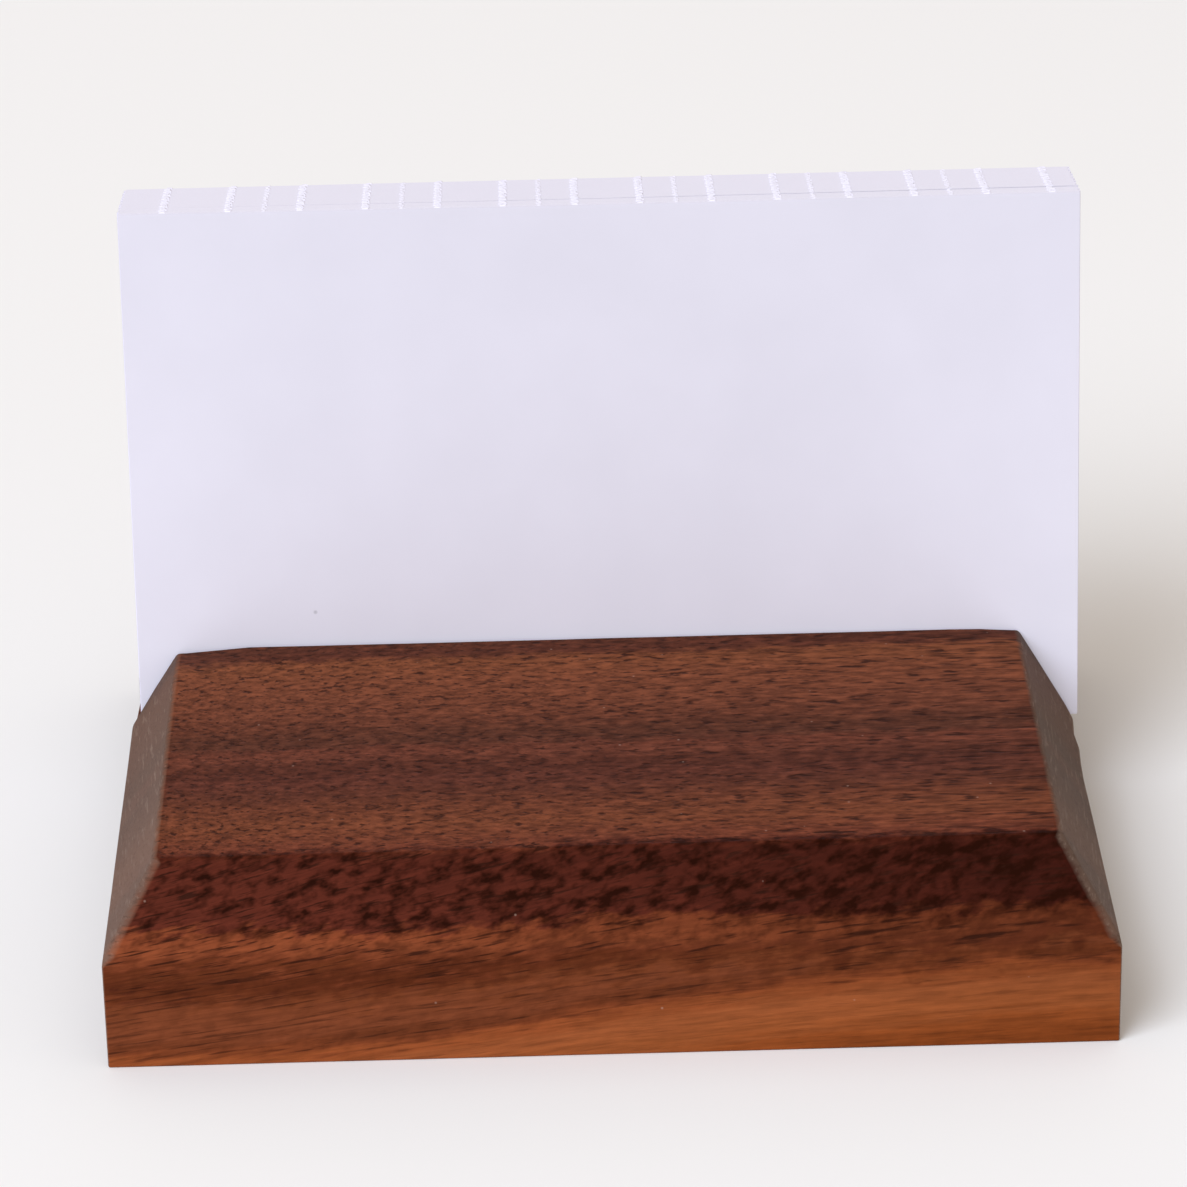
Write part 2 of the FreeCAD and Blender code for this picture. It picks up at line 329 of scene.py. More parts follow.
def frontGrain(tree, look, axes, fibres):
    # the wood on the front: lighter below a line that climbs to the right, and darker streaks above it
    left, right, low, high = look["frontRise"]
    line = addNode(tree, "ShaderNodeMapRange", {
        "interpolation_type": "SMOOTHSTEP", "From Min": left, "From Max": right, "To Min": low,
        "To Max": high}, {"Value": axes.outputs["X"]})
    above = addNode(tree, "ShaderNodeMath", {"operation": "SUBTRACT"},
                    {0: axes.outputs["Z"], 1: line.outputs["Result"]})
    ragged = alongFibres(tree, fibres, "ShaderNodeTexNoise", look["frontRagged"],
                         {"Detail": 4.0, "Roughness": 0.6})
    depth = look["frontRaggedDepth"]
    place = addNode(tree, "ShaderNodeMath", {"operation": "MULTIPLY_ADD", 1: depth},
                    {0: ragged.outputs["Fac"], 2: above.outputs["Value"]})
    middled = addNode(tree, "ShaderNodeMath", {"operation": "ADD", 1: -depth / 2},
                      {0: place.outputs["Value"]})
    return rampOf(tree, look["frontLayers"], middled.outputs["Value"])


def darkPatches(tree, look, bent, axes):
    # blotches in the darkest layer, which the front bevel cuts at a slant
    slope = addNode(tree, "ShaderNodeVectorRotate", {
        "rotation_type": "X_AXIS", "Angle": -math.radians(look["bevelSlope"])},
        {"Vector": bent.outputs["Vector"]})
    slant = addNode(tree, "ShaderNodeVectorRotate", {
        "rotation_type": "Z_AXIS", "Angle": -math.radians(look["patchSlant"])},
        {"Vector": slope.outputs["Vector"]})
    patches = alongFibres(tree, slant, "ShaderNodeTexNoise", look["patchSize"],
                          {"Detail": 2.5, "Roughness": 0.5})
    grown = addNode(tree, "ShaderNodeMath", {"operation": "MULTIPLY_ADD", 1: look["patchGrowth"]},
                    {0: axes.outputs["X"], 2: patches.outputs["Fac"]})
    begins, full = look["patchEdges"]
    return addNode(tree, "ShaderNodeMapRange", {"From Min": begins, "From Max": full},
                   {"Value": grown.outputs["Value"]})


def endGrain(tree, look, bent, axes, wood, pores):
    # the board cut across: duller, and greyer from a painted sheen, darker towards the back, with pores end
    # on and pale scratches from the sanding
    front, rear, frontDullness, rearDullness = look["endDullnessAndSheen"]
    dullAndSheenShare = addNode(tree, "ShaderNodeMapRange", {
        "From Min": front, "From Max": rear, "To Min": frontDullness, "To Max": rearDullness},
        {"Value": axes.outputs["Y"]})
    # painted sheen: the ends are mixed towards a greyer colour for their grazing reflection, and the right
    # one's is darker, as painted shade
    leftDullAndSheen, rightDullSheenAndShade = look["endDullAndSheenColours"]
    side = addNode(tree, "ShaderNodeMapRange", {"From Min": -40.0, "From Max": 40.0},
                   {"Value": axes.outputs["X"]})
    dullAndSheen = addNode(tree, "ShaderNodeMix", {
        "data_type": "RGBA", "A": toLinear(leftDullAndSheen), "B": toLinear(rightDullSheenAndShade)},
        {"Factor": side.outputs["Result"]})
    dulledWithSheen = addNode(tree, "ShaderNodeMix", {"data_type": "RGBA"}, {
        "Factor": dullAndSheenShare.outputs["Result"], "A": wood.outputs["Color"], "B": dullAndSheen.outputs["Result"]})
    front, rear, frontTone, rearTone = look["endTone"]
    depthTone = addNode(tree, "ShaderNodeMapRange", {
        "From Min": front, "From Max": rear, "To Min": frontTone, "To Max": rearTone},
        {"Value": axes.outputs["Y"]})
    toned = addNode(tree, "ShaderNodeVectorMath", {"operation": "SCALE"},
                    {0: dulledWithSheen.outputs["Result"], "Scale": depthTone.outputs["Result"]})
    poreShare = addNode(tree, "ShaderNodeMath", {"operation": "MULTIPLY", 1: look["endPoreDepth"]},
                        {0: pores.outputs["Result"]})
    porous = addNode(tree, "ShaderNodeMix", {"data_type": "RGBA", "B": toLinear(look["endPoreColour"])}, {
        "Factor": poreShare.outputs["Value"], "A": toned.outputs["Vector"]})
    turned = addNode(tree, "ShaderNodeVectorRotate", {
        "rotation_type": "X_AXIS", "Angle": math.radians(look["scratchTurn"])},
        {"Vector": bent.outputs["Vector"]})
    scratches = alongFibres(tree, turned, "ShaderNodeTexNoise", look["scratchSize"],
                            {"Detail": 3.0, "Roughness": 0.7})
    begins, full = look["scratchEdges"]
    scratchShare = addNode(tree, "ShaderNodeMapRange", {
        "From Min": begins, "From Max": full, "To Max": look["scratchDepth"]},
        {"Value": scratches.outputs["Fac"]})
    return addNode(tree, "ShaderNodeMix", {"data_type": "RGBA", "B": toLinear(look["scratchColour"])}, {
        "Factor": scratchShare.outputs["Result"], "A": porous.outputs["Result"]})


def makeWalnut(look):
    # black walnut, planed, hand sanded and oiled: deep brown layers, open pores that catch shadow, a low
    # sheen, and across its ends a duller brown that a painted sheen greys
    material = newMaterial("oiledWalnut")
    tree = material.node_tree
    bent, axes, fibres = boardPlace(tree, look)
    ring = growthRing(tree, look, axes, fibres)
    layers = rampOf(tree, look["growthLayers"], ring.outputs["Value"])
    frontWood = frontGrain(tree, look, axes, fibres)
    begins, ends = look["frontReach"]
    frontShare = addNode(tree, "ShaderNodeMapRange", {
        "From Min": begins, "From Max": ends, "To Min": 1.0, "To Max": 0.0},
        {"Value": ring.outputs["Value"]})
    wood = addNode(tree, "ShaderNodeMix", {"data_type": "RGBA"}, {
        "Factor": frontShare.outputs["Result"], "A": layers.outputs["Color"],
        "B": frontWood.outputs["Color"]})

    # painted shade: the dark layer that the front bevel cuts is made darker towards the right, and a little
    # of it reaches the front below
    begins, full = look["paintedShadeReach"]
    paintedShadeTowardsRight = addNode(tree, "ShaderNodeMapRange", {
        "From Min": begins, "From Max": full, "To Max": look["paintedShadeDepth"]}, {"Value": axes.outputs["X"]})
    begins, ends = look["paintedShadeLayers"]
    inLayer = addNode(tree, "ShaderNodeMapRange", {
        "From Min": begins, "From Max": ends, "To Min": 1.0, "To Max": 0.0},
        {"Value": ring.outputs["Value"]})
    begins, full = look["paintedShadeEases"]
    paintedShadeOffFront = addNode(tree, "ShaderNodeMapRange", {
        "From Min": begins, "From Max": full, "To Min": look["paintedShadeFront"]}, {"Value": ring.outputs["Value"]})
    paintedShadeHere = addNode(tree, "ShaderNodeMath", {"operation": "MULTIPLY"},
                        {0: paintedShadeTowardsRight.outputs["Result"], 1: inLayer.outputs["Result"]})
    paintedShadeShare = addNode(tree, "ShaderNodeMath", {"operation": "MULTIPLY"},
                         {0: paintedShadeHere.outputs["Value"], 1: paintedShadeOffFront.outputs["Result"]})
    paintedShaded = addNode(tree, "ShaderNodeMix", {"data_type": "RGBA", "B": toLinear(look["paintedShadeColour"])}, {
        "Factor": paintedShadeShare.outputs["Value"], "A": wood.outputs["Result"]})

    # fine streaks along the fibres, and pores: tubes that the top cuts into dashes, the front into grooves
    streaks = alongFibres(tree, fibres, "ShaderNodeTexNoise", look["streakSize"],
                          {"Detail": 3.0, "Roughness": 0.65})
    darkest, lightest = look["streakTone"]
    streakTone = addNode(tree, "ShaderNodeMapRange", {
        "From Min": 0.3, "From Max": 0.7, "To Min": darkest, "To Max": lightest},
        {"Value": streaks.outputs["Fac"]})
    calm = addNode(tree, "ShaderNodeMath", {"operation": "MULTIPLY", 1: look["calmStreaks"]},
                   {0: inLayer.outputs["Result"]})
    tone = addNode(tree, "ShaderNodeMix", {"B": 1.0}, {
        "Factor": calm.outputs["Value"], "A": streakTone.outputs["Result"]})
    streaked = addNode(tree, "ShaderNodeVectorMath", {"operation": "SCALE"},
                       {0: paintedShaded.outputs["Result"], "Scale": tone.outputs["Result"]})
    pores = alongFibres(tree, fibres, "ShaderNodeTexNoise", look["poreSize"],
                        {"Detail": 2.0, "Roughness": 0.55})
    begins, full = look["poreEdges"]
    poreMask = addNode(tree, "ShaderNodeMapRange", {"From Min": begins, "From Max": full},
                       {"Value": pores.outputs["Fac"]})
    poreDepth = addNode(tree, "ShaderNodeMix", {"A": look["poreDepth"]}, {
        "Factor": frontShare.outputs["Result"], "B": frontWood.outputs["Alpha"]})
    poreShare = addNode(tree, "ShaderNodeMath", {"operation": "MULTIPLY"},
                        {0: poreMask.outputs["Result"], 1: poreDepth.outputs["Result"]})
    porous = addNode(tree, "ShaderNodeMix", {"data_type": "RGBA", "B": toLinear(look["poreColour"])}, {
        "Factor": poreShare.outputs["Value"], "A": streaked.outputs["Vector"]})
    patches = darkPatches(tree, look, bent, axes)
    onFront = addNode(tree, "ShaderNodeMath", {"operation": "MULTIPLY", 1: look["frontPatches"]},
                      {0: frontWood.outputs["Alpha"]})
    patchDepth = addNode(tree, "ShaderNodeMix", links={
        "Factor": frontShare.outputs["Result"], "A": layers.outputs["Alpha"], "B": onFront.outputs["Value"]})
    patchShare = addNode(tree, "ShaderNodeMath", {"operation": "MULTIPLY"},
                         {0: patches.outputs["Result"], 1: patchDepth.outputs["Result"]})
    patched = addNode(tree, "ShaderNodeMix", {"data_type": "RGBA", "B": toLinear(look["patchColour"])}, {
        "Factor": patchShare.outputs["Value"], "A": porous.outputs["Result"]})

    # the ends, told by which way the surface faces, so that a rounded edge fades from one to the other;
    # the left one's upper rim and the right one's lower rim get a painted highlight, where the rounding
    # catches the light
    facing = addNode(tree, "ShaderNodeTexCoord")
    facingAxes = addNode(tree, "ShaderNodeSeparateXYZ", links={"Vector": facing.outputs["Normal"]})
    sideways = addNode(tree, "ShaderNodeMath", {"operation": "ABSOLUTE"}, {0: facingAxes.outputs["X"]})
    uneven = addNode(tree, "ShaderNodeMapRange", {"To Min": 0.8, "To Max": 1.3},
                     {"Value": patches.outputs["Result"]})
    brokenEdge = addNode(tree, "ShaderNodeMath", {"operation": "MULTIPLY"},
                         {0: sideways.outputs["Value"], 1: uneven.outputs["Result"]})
    begins, full = look["endEdges"]
    endShare = addNode(tree, "ShaderNodeMapRange", {"From Min": begins, "From Max": full},
                       {"Value": brokenEdge.outputs["Value"]})
    acrossGrain = endGrain(tree, look, bent, axes, layers, poreMask)
    begins, full, strength = look["leftRimHighlight"]
    leftRimHighlightShare = addNode(tree, "ShaderNodeMapRange", {
        "From Min": begins, "From Max": full, "To Max": strength}, {"Value": facingAxes.outputs["X"]})
    leftHighlighted = addNode(tree, "ShaderNodeMix", {"data_type": "RGBA", "B": toLinear(look["leftRimHighlightColour"])}, {
        "Factor": leftRimHighlightShare.outputs["Result"], "A": patched.outputs["Result"]})
    begins, full, eases, ends, strength = look["rightRimHighlight"]
    rightRimHighlightStart = addNode(tree, "ShaderNodeMapRange", {
        "From Min": begins, "From Max": full, "To Max": strength}, {"Value": facingAxes.outputs["X"]})
    rightRimHighlightStop = addNode(tree, "ShaderNodeMapRange", {
        "From Min": eases, "From Max": ends, "To Min": 1.0, "To Max": 0.0},
        {"Value": facingAxes.outputs["X"]})
    rightRimHighlightShare = addNode(tree, "ShaderNodeMath", {"operation": "MULTIPLY"},
                            {0: rightRimHighlightStart.outputs["Result"], 1: rightRimHighlightStop.outputs["Result"]})
    rightHighlighted = addNode(tree, "ShaderNodeMix", {"data_type": "RGBA", "B": toLinear(look["rightRimHighlightColour"])}, {
        "Factor": rightRimHighlightShare.outputs["Value"], "A": acrossGrain.outputs["Result"]})
    whole = addNode(tree, "ShaderNodeMix", {"data_type": "RGBA"}, {
        "Factor": endShare.outputs["Result"], "A": leftHighlighted.outputs["Result"], "B": rightHighlighted.outputs["Result"]})

    # painted shade on the slot's front wall and its rims, tinted by a painted reflection of the cards
    begins, full, strength = look["slotWallShade"]
    turnedBack = addNode(tree, "ShaderNodeMapRange", {
        "From Min": begins, "From Max": full, "To Max": strength}, {"Value": facingAxes.outputs["Y"]})
    beforeSlot = addNode(tree, "ShaderNodeMath", {"operation": "LESS_THAN", 1: look["slotShadeReach"]},
                         {0: axes.outputs["Y"]})
    slotShadeShare = addNode(tree, "ShaderNodeMath", {"operation": "MULTIPLY"},
                        {0: turnedBack.outputs["Result"], 1: beforeSlot.outputs["Value"]})
    slotShaded = addNode(tree, "ShaderNodeMix", {"data_type": "RGBA", "B": toLinear(look["slotShadeColour"])}, {
        "Factor": slotShadeShare.outputs["Value"], "A": whole.outputs["Result"]})

    # a few pale specks of dust
    dust = addNode(tree, "ShaderNodeTexVoronoi", {"Scale": 1 / look["dustSpacing"]},
                   {"Vector": bent.outputs["Vector"]})
    speck = look["dustSize"] / look["dustSpacing"]
    dustShare = addNode(tree, "ShaderNodeMapRange", {
        "From Min": speck * 0.4, "From Max": speck, "To Min": look["dustDepth"], "To Max": 0.0},
        {"Value": dust.outputs["Distance"]})
    dusty = addNode(tree, "ShaderNodeMix", {"data_type": "RGBA", "B": toLinear(look["dustColour"])}, {
        "Factor": dustShare.outputs["Result"], "A": slotShaded.outputs["Result"]})

    # pores and patches lie a little below the surface
    depth = addNode(tree, "ShaderNodeMath", {"operation": "MAXIMUM"},
                    {0: poreMask.outputs["Result"], 1: patchShare.outputs["Value"]})
    relief = addNode(tree, "ShaderNodeBump", {
        "invert": True, "Strength": 0.4, "Distance": look["reliefDepth"] * mm},
        {"Height": depth.outputs["Value"]})
    surface = addNode(tree, "ShaderNodeBsdfPrincipled", {"Roughness": 0.55, "Specular IOR Level": 0.03}, {
        "Base Color": dusty.outputs["Result"], "Normal": relief.outputs["Normal"]})
    addNode(tree, "ShaderNodeOutputMaterial", links={"Surface": surface.outputs["BSDF"]})
    return material


paperLook = {
    "sheet": "#d6d5e3",
    "footHeight": 18.0,        # mm, where a standing card comes out of the block
    "topHeight": 56.0,        # mm
    "footPaintedLight": 1.12,        # painted light: how much lighter the sheet is made at its foot, against the shade there
    "mottleSize": 9.0,        # mm
    "mottleTone": (0.985, 1.015),
    "fibreSize": 0.12,        # mm
    "fibreRelief": 0.01,        # mm
    "fleckColour": "#57525c",
    "cutEdge": "#e8e7f7",
    "tornEdge": "#e7e6f5",
    "flecks": [        # mm across and up from the foot of the front card, the size, and how dark it is
        ((10.15, 28.2), 0.17, 0.45), ((-27.6, 11.95), 0.24, 0.30)],
}


def makeCardStock(look, flecks):
    # uncoated white card with optical brightener: matt, cool white, faintly mottled, a dark fleck or two
    material = newMaterial("uncoatedCardStock")
    tree = material.node_tree
    coords = addNode(tree, "ShaderNodeTexCoord")
    mottle = addNode(tree, "ShaderNodeTexNoise", {"Scale": 1 / (look["mottleSize"] * mm), "Detail": 3.0},
                     {"Vector": coords.outputs["Object"]})
    darkest, lightest = look["mottleTone"]
    mottleTone = addNode(tree, "ShaderNodeMapRange", {
        "From Min": 0.3, "From Max": 0.7, "To Min": darkest, "To Max": lightest},
        {"Value": mottle.outputs["Fac"]})
    axes = addNode(tree, "ShaderNodeSeparateXYZ", links={"Vector": coords.outputs["Object"]})
    # painted light: the sheet is made lighter towards its foot, where the block shades it
    paintedFootLight = addNode(tree, "ShaderNodeMapRange", {
        "From Min": look["footHeight"] * mm, "From Max": look["topHeight"] * mm,
        "To Min": look["footPaintedLight"], "To Max": 1.0}, {"Value": axes.outputs["Z"]})
    tone = addNode(tree, "ShaderNodeMath", {"operation": "MULTIPLY"},
                   {0: mottleTone.outputs["Result"], 1: paintedFootLight.outputs["Result"]})
    sheet = addNode(tree, "ShaderNodeVectorMath", {"operation": "SCALE", 0: toLinear(look["sheet"])[:3]},
                    {"Scale": tone.outputs["Value"]})
    colour = sheet.outputs["Vector"]
    for place, size, share in flecks:
        away = addNode(tree, "ShaderNodeVectorMath", {"operation": "DISTANCE", 1: place},
                       {0: coords.outputs["Object"]})
        fleckShare = addNode(tree, "ShaderNodeMapRange", {
            "From Min": size * mm * 0.4, "From Max": size * mm, "To Min": share, "To Max": 0.0},
            {"Value": away.outputs["Value"]})
        flecked = addNode(tree, "ShaderNodeMix", {"data_type": "RGBA", "B": toLinear(look["fleckColour"])},
                          {"Factor": fleckShare.outputs["Result"], "A": colour})
        colour = flecked.outputs["Result"]
    fibres = addNode(tree, "ShaderNodeTexNoise", {"Scale": 1 / (look["fibreSize"] * mm), "Detail": 2.0},
                     {"Vector": coords.outputs["Object"]})
    relief = addNode(tree, "ShaderNodeBump", {"Strength": 0.1, "Distance": look["fibreRelief"] * mm},
                     {"Height": fibres.outputs["Fac"]})
    surface = addNode(tree, "ShaderNodeBsdfPrincipled", {"Roughness": 0.85, "Specular IOR Level": 0.25}, {
        "Base Color": colour, "Normal": relief.outputs["Normal"]})
    addNode(tree, "ShaderNodeOutputMaterial", links={"Surface": surface.outputs["BSDF"]})
    return material


def makePaperEdge(name, colour):
    # cut or torn paper, where bare fibres scatter the light: whiter than the sheet's pressed face
    material = newMaterial(name)
    tree = material.node_tree
    surface = addNode(tree, "ShaderNodeBsdfPrincipled", {
        "Base Color": toLinear(colour), "Roughness": 1.0, "Specular IOR Level": 0.1})
    addNode(tree, "ShaderNodeOutputMaterial", links={"Surface": surface.outputs["BSDF"]})
    return material


walnut = makeWalnut(walnutLook)
print("walnut mixed")


# Block: a walnut board with its top edges planed off by hand, a sawn slot, and all of it sanded

blockSizes = {
    "cornerHeights": {        # mm, where the bevels' lower edges meet, by the corner's side in X and Y
        (-1, -1): 10.43, (1, -1): 9.78, (1, 1): 9.87, (-1, 1): 10.4},
    "frontRun": 5.0,        # mm, how far in the bevel reaches on the top
    "rearRun": 5.0,
    "leftRun": 4.6,
    "rightRun": 4.87,
    "slotRim": 9.5,        # mm behind the middle, the slot's front rim
    "slotFloor": 9.2,        # mm, height of the floor's front edge
    "slotWidth": 11.1,
    "slotTilt": 8.0,        # degrees
    "softness": 0.42,        # mm, how far to each side the sanding rounds an edge
    "uprightSoftness": 0.15,        # the block's corners
    "hipSoftness": 0.9,        # where two bevels meet
    "rimSoftness": 0.25,
    "slotSoftness": 0.1,
    "footSoftness": 0.2,
    "sliceSpacing": 3.0,        # mm, between the loops that the sanding needs
    "sandingDepth": 0.07,        # mm, how uneven the hand sanding is
    "sandingScale": 14.0,        # mm
    "wear": [        # mm: a spot on the block, how far the sanding or a burr shifts it, and how far round it
        ((-39.9, 9.5, 18.0), (0, 0, -0.45), 6.0), ((39.6, 9.5, 18.0), (0.1, 0, -0.25), 4.0),
        ((44.4, 6.0, 9.9), (0.3, 0, 0), 2.6), ((44.4, 0.0, 9.9), (0.25, 0, 0), 5.0)],
    "wearGrip": 0.8,        # mm, points up to this much further off than the nearest one shift in full
}


def makeBlock(sizes):
    low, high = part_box("holder_block")
    width, depth, height = high.x - low.x, high.y - low.y, high.z
    block = cubeBetween("walnutBlock", (-width / 2, -depth / 2, 0), (width / 2, depth / 2, height))

    # bevels: each plane goes through the two ends of its lower edge and the middle of its upper one
    bevels = [
        ((-1, -1), (1, -1), (0, -1), sizes["frontRun"]),
        ((1, 1), (-1, 1), (0, 1), sizes["rearRun"]),
        ((-1, 1), (-1, -1), (-1, 0), sizes["leftRun"]),
        ((1, -1), (1, 1), (1, 0), sizes["rightRun"]),
    ]
    heights = sizes["cornerHeights"]
    for start, end, side, run in bevels:
        first = Vector((start[0] * width / 2, start[1] * depth / 2, heights[start] * mm))
        last = Vector((end[0] * width / 2, end[1] * depth / 2, heights[end] * mm))
        upper = Vector((side[0] * (width / 2 - run * mm), side[1] * (depth / 2 - run * mm), height))
        normal = (last - first).cross(upper - first).normalized()
        cutPlane(block, first, normal, cutAway=True)
    weld(block)

    # slot: a saw blade's width, leaning back, taken out right through both ends
    tilt = math.radians(sizes["slotTilt"])
    slotUp = Vector((0, math.sin(tilt), math.cos(tilt)))
    slotBack = Vector((0, math.cos(tilt), -math.sin(tilt)))
    floorPlace = sizes["slotRim"] * mm - (height - sizes["slotFloor"] * mm) * math.tan(tilt)
    floorFront = Vector((0, floorPlace, sizes["slotFloor"] * mm))
    saw = cubeBetween("sawCut", (-width, 0, 0), (width, sizes["slotWidth"] * mm, height))
    saw.matrix_world = Matrix.Translation(floorFront) @ Matrix.Rotation(-tilt, 4, "X")
    placeInMesh(saw)
    applyModifier(block, "BOOLEAN", operation="DIFFERENCE", object=saw, solver="EXACT")
    bpy.data.objects.remove(saw)

    # sanding: how much of the softness each edge gets
    mesh = block.data
    sanding = mesh.attributes.new("bevel_weight_edge", "FLOAT", "EDGE")
    for edge in mesh.edges:
        ends = [mesh.vertices[number].co for number in edge.vertices]
        middle = (ends[0] + ends[1]) / 2
        behind = (middle - floorFront).dot(slotBack)
        above = (middle - floorFront).dot(slotUp)
        inSlot = -tiny < behind < sizes["slotWidth"] * mm + tiny and above > -tiny
        spans = [abs(ends[0][axis] - ends[1][axis]) for axis in range(3)]
        radius = sizes["softness"]
        if inSlot and spans[0] > width / 2 and middle.z > height - tiny:
            radius = sizes["rimSoftness"]
        elif inSlot:
            radius = sizes["slotSoftness"]
        elif middle.z < tiny:
            radius = sizes["footSoftness"]
        elif min(spans) > mm:
            radius = sizes["hipSoftness"]
        elif max(spans[:2]) < tiny:
            radius = sizes["uprightSoftness"]
        sanding.data[edge.index].value = radius / sizes["hipSoftness"]
    applyModifier(block, "BEVEL", width=sizes["hipSoftness"] * mm, segments=4, limit_method="WEIGHT",
                  profile=0.5, use_clamp_overlap=False)

    # loops for the sanding, and the slightly uneven surface that it leaves, apart from the flat underside
    spacing = sizes["sliceSpacing"] * mm
    for axis, reach in ((Vector((1, 0, 0)), width), (Vector((0, 1, 0)), depth)):
        count = int(reach / spacing)
        for number in range(count):
            cutPlane(block, axis * (number - (count - 1) / 2) * spacing, axis)
    weld(block)
    unevenness = bpy.data.textures.new("handSanding", "CLOUDS")
    unevenness.noise_scale = sizes["sandingScale"] * mm
    applyModifier(block, "DISPLACE", texture=unevenness, texture_coords="LOCAL",
                  strength=sizes["sandingDepth"] * mm, mid_level=0.5)
    pickInMesh(block, lambda place, normal: normal.z < -0.97 and place.z < 0.1 * mm, "vertices")
    bpy.ops.transform.resize(value=(1, 1, 0), center_override=(0, 0, 0))
    bpy.ops.object.mode_set(mode="OBJECT")

    # the rim's ends are sanded down more than the rest of it, and a burr is left beside the slot
    for where, shift, reach in sizes["wear"]:
        spot = Vector(where) * mm
        nearest = min((vertex.co - spot).length for vertex in block.data.vertices)
        grip = nearest + sizes["wearGrip"] * mm
        pickInMesh(block, lambda place, normal: (place - spot).length < grip, "vertices")
        bpy.ops.transform.translate(value=Vector(shift) * mm, use_proportional_edit=True,
                                    proportional_edit_falloff="SMOOTH", proportional_size=reach * mm)
        bpy.ops.object.mode_set(mode="OBJECT")
    selectOnly(block)
    bpy.ops.object.shade_smooth()
    applyModifier(block, "WEIGHTED_NORMAL", weight=100)
    return block


block = makeBlock(blockSizes)
block.data.materials.append(walnut)
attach(block, "holder")
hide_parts("holder_block")
print("block made")


# Cards: sheets torn from a perforated page, so their upper edges keep a row of small torn nibs

cardSizes = {
    "width": 88.9,        # mm
    "thickness": 0.36,
    "height": 50.8,
    "lean": 8.0,        # degrees, with the slot
    "fannedCards": 6,        # the front ones, which stand open at their right-hand side
    "fanOpening": 0.35,        # mm
    "nibPitch": 6.35,        # mm, the strong nibs
    "nibInset": 4.1,        # from the left-hand edge
    "nibWidth": 0.6,
    "nibHeight": 0.1,
    "nibStagger": 0.3,        # every second one stands this much nearer to the one before
    "faintWidth": 0.3,        # mm, the faint nibs, in the middle of each wider space
    "faintHeight": 0.06,
    "tornBy": 0.05,        # mm, how unevenly the nibs tore
    "bow": 0.5,        # mm, how far the front card's upper edge bows forward; the last one's is straight
    "bowLoops": 8,
}


def makeCard(sizes):
    # one card, flat and upright: foot along X at Z 0, printable side towards -Y
    halfWidth = sizes["width"] / 2
    card = cubeBetween("tornCard", (-halfWidth * mm, 0, 0),
                       (halfWidth * mm, sizes["thickness"] * mm, sizes["height"] * mm))
    inset, pitch, stagger = sizes["nibInset"], sizes["nibPitch"], sizes["nibStagger"]
    rows = (
        (inset, sizes["nibWidth"], sizes["nibHeight"]),
        (inset + pitch - stagger, sizes["nibWidth"], sizes["nibHeight"]),
        (inset + 1.5 * pitch - stagger / 2, sizes["faintWidth"], sizes["faintHeight"]),
    )
    upperEdge = sizes["height"] * mm - tiny
    for first, nibWidth, nibHeight in rows:
        count = int((sizes["width"] - first - nibWidth) / (2 * pitch)) + 1
        middles = [(first - halfWidth + number * 2 * pitch) * mm for number in range(count)]
        for middle in middles:
            for edge in (-nibWidth / 2, nibWidth / 2):
                cutPlane(card, (middle + edge * mm, 0, 0), (1, 0, 0))

        # each stretch of the upper edge between two such cuts is pulled up a little and drawn in
        for middle in middles:
            pickInMesh(card, lambda place, normal: normal.z > 0.9 and place.z > upperEdge
                       and abs(place.x - middle) < 0.1 * mm, "faces")
            bpy.ops.mesh.extrude_region_move(TRANSFORM_OT_translate={"value": (0, 0, nibHeight * mm)})
            bpy.ops.transform.resize(value=(0.7, 0.6, 1.0))
            bpy.ops.object.mode_set(mode="OBJECT")

    # loops for the bow of a sheet that stands loose
    for number in range(1, sizes["bowLoops"]):
        share = number / sizes["bowLoops"]
        cutPlane(card, (0, 0, share * sizes["height"] * mm), (0, 0, 1))
        cutPlane(card, ((share * 2 - 1) * halfWidth * mm, 0, 0), (1, 0, 0))

    # slot 0 is the sheet, 1 its cut edges, 2 the torn nibs
    for face in card.data.polygons:
        onEdge = abs(face.normal.y) < 0.5
        torn = face.center.z > sizes["height"] * mm + tiny
        face.material_index = 2 if torn else 1 if onEdge else 0
    selectOnly(card)
    bpy.ops.object.shade_smooth_by_angle(angle=math.radians(30))
    return card


def tearNibs(card, sizes, seed):
    # the nibs of each card tore in their own way
    pickInMesh(card, lambda place, normal: place.z > sizes["height"] * mm + tiny, "vertices")
    bpy.ops.transform.vertex_random(offset=sizes["tornBy"] * mm, uniform=0.3, seed=seed)
    bpy.ops.object.mode_set(mode="OBJECT")


def bowCard(card, sizes, bow):
    # the middle of the upper edge is pulled forward, and the rest of the sheet follows it
    upperEdge = sizes["height"] * mm - tiny
    reach = sizes["nibPitch"] * mm
    pickInMesh(card, lambda place, normal: place.z > upperEdge and abs(place.x) < reach, "vertices")
    bpy.ops.transform.translate(value=(0, -bow * mm, 0), use_proportional_edit=True,
                                proportional_edit_falloff="SMOOTH",
                                proportional_size=sizes["width"] / 2 * mm)
    bpy.ops.object.mode_set(mode="OBJECT")


def cardPlace(number, sizes):
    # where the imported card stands: the middle of its foot, the slot's lean, and the front ones' fan
    low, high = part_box(f"card_{number:02d}")
    lean = math.radians(sizes["lean"])
    fan = math.asin(sizes["fanOpening"] / sizes["width"]) if number <= sizes["fannedCards"] else 0.0
    reach = sizes["width"] / 2 * mm * math.sin(fan)
    foot = Vector((
        (low.x + high.x) / 2,
        low.y + reach * math.cos(lean),
        low.z + (sizes["thickness"] * mm * math.cos(fan) + reach) * math.sin(lean)))
    return Matrix.Translation(foot) @ Matrix.Rotation(-lean, 4, "X") @ Matrix.Rotation(-fan, 4, "Z")


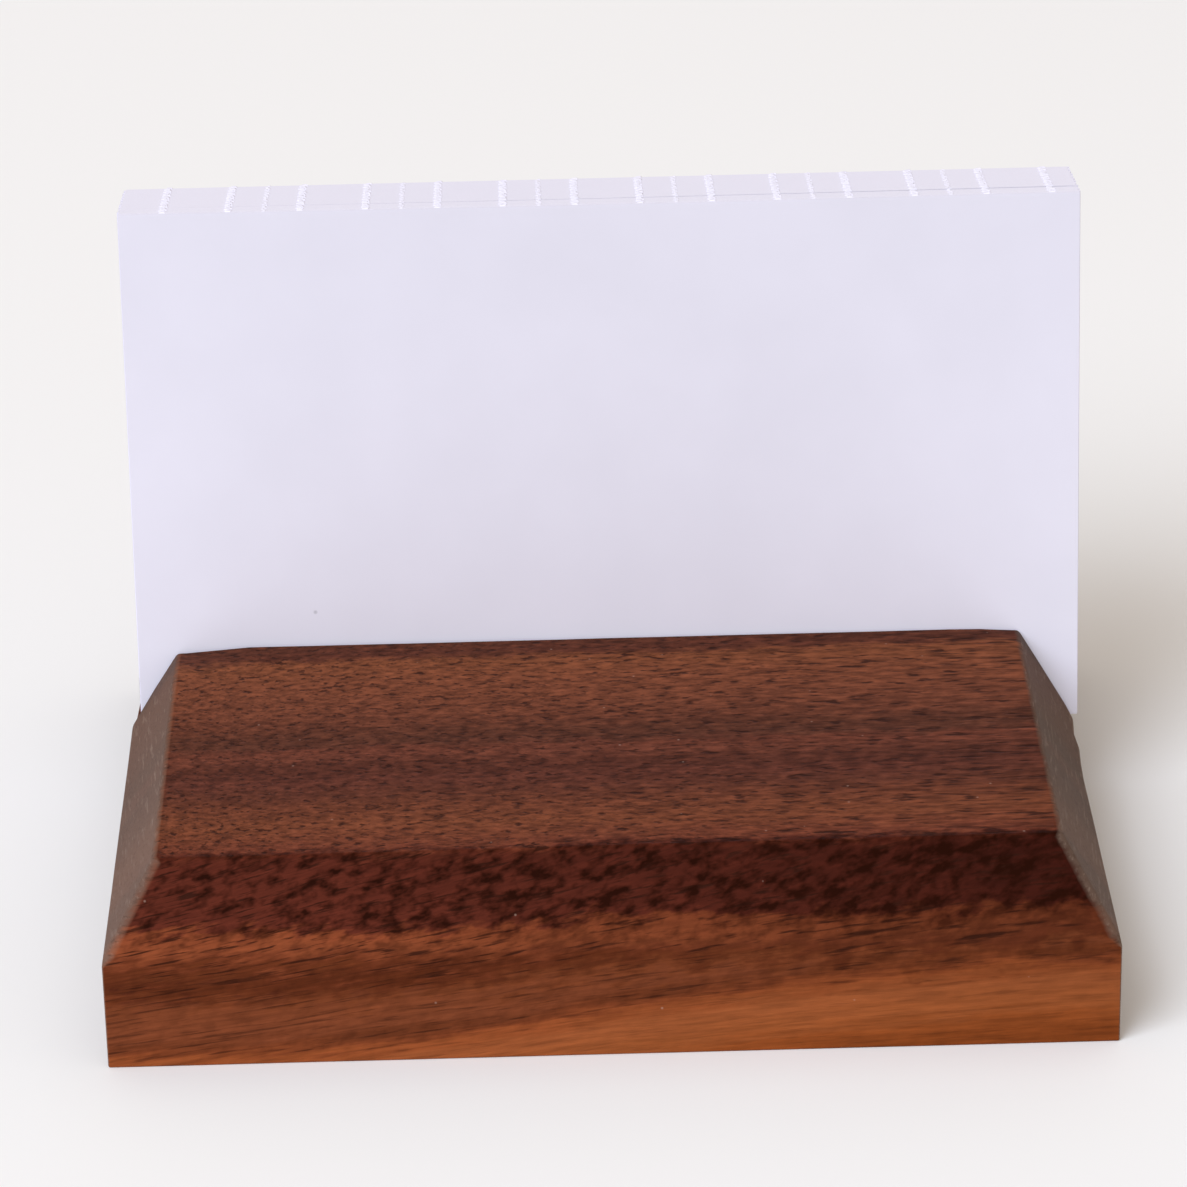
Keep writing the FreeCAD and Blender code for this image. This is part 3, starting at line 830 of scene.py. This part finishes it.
def standCard(model, number, count, sizes):
    # a copy of the card, torn and bowed in its own way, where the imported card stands
    card = model.copy()
    card.data = model.data.copy()
    card.name = f"printableCard{number:02d}"
    card.data.name = card.name
    bpy.context.collection.objects.link(card)
    tearNibs(card, sizes, number)
    bowCard(card, sizes, sizes["bow"] * (count - number) / (count - 1))
    card.matrix_world = cardPlace(number, sizes)
    placeInMesh(card)
    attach(card, f"card_{number:02d}_body")
    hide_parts(f"card_{number:02d}")
    return card


cardModel = makeCard(cardSizes)
cardCount = sum(name.startswith("card_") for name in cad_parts)
cards = [standCard(cardModel, number, cardCount, cardSizes) for number in range(1, 1 + cardCount)]
bpy.data.objects.remove(cardModel)
flecks = []
for (across, up), size, share in paperLook["flecks"]:
    onSheet = cardPlace(1, cardSizes) @ Vector((across * mm, 0, up * mm))
    flecks.append((cards[0].closest_point_on_mesh(onSheet)[1], size, share))
cardMaterials = (
    makeCardStock(paperLook, flecks),
    makePaperEdge("cutCardEdge", paperLook["cutEdge"]),
    makePaperEdge("tornCardFibres", paperLook["tornEdge"]),
)
for card in cards:
    for material in cardMaterials:
        card.data.materials.append(material)
print(len(cards), "cards made")


# Floor, backdrop and light

studio = {
    "floorColour": "#eff0f2",
    "floorSize": 6.0,        # m
    "skyColour": "#fff2e4",
    "skyStrength": 0.63,
    "windowColour": "#eaf3ff",
    "windowPlace": (-2.14, -2.41, 3.04),        # m
    "windowSize": 2.8,        # m
    "windowPower": 169.0,        # W
    "roomColour": "#fff6ee",
    "roomPlace": (0.3, -3.2, 0.9),        # m, the bright room behind the camera
    "roomSize": 2.4,        # m
    "roomPower": 8.0,        # W
}


def addLight(name, place, size, power, colour):
    # a soft square light that faces the object
    bpy.ops.object.light_add(type="AREA", location=place)
    light = bpy.context.object
    light.name = name
    light.data.shape = "SQUARE"
    light.data.size = size
    light.data.energy = power
    light.data.color = toLinear(colour)[:3]
    light.rotation_euler = (-Vector(place)).to_track_quat("-Z", "Y").to_euler()


def makeStudio(settings):
    selectOnly(None)
    bpy.ops.mesh.primitive_plane_add(size=settings["floorSize"], location=(0, 0, 0))
    floor = bpy.context.object
    floor.name = "floor"
    material = newMaterial("paleTable")
    tree = material.node_tree
    surface = addNode(tree, "ShaderNodeBsdfPrincipled", {
        "Base Color": toLinear(settings["floorColour"]), "Roughness": 0.7, "Specular IOR Level": 0.2})
    addNode(tree, "ShaderNodeOutputMaterial", links={"Surface": surface.outputs["BSDF"]})
    floor.data.materials.append(material)
    addLight("window", settings["windowPlace"], settings["windowSize"], settings["windowPower"],
             settings["windowColour"])
    addLight("room", settings["roomPlace"], settings["roomSize"], settings["roomPower"],
             settings["roomColour"])

    world = bpy.data.worlds.new("softRoom")
    bpy.context.scene.world = world
    world.use_nodes = True
    world.node_tree.nodes.clear()
    sky = addNode(world.node_tree, "ShaderNodeBackground", {
        "Color": toLinear(settings["skyColour"]), "Strength": settings["skyStrength"]})
    addNode(world.node_tree, "ShaderNodeOutputWorld", links={"Surface": sky.outputs["Background"]})


makeStudio(studio)
bpy.context.scene.view_settings.view_transform = "Standard"
print("studio lit")
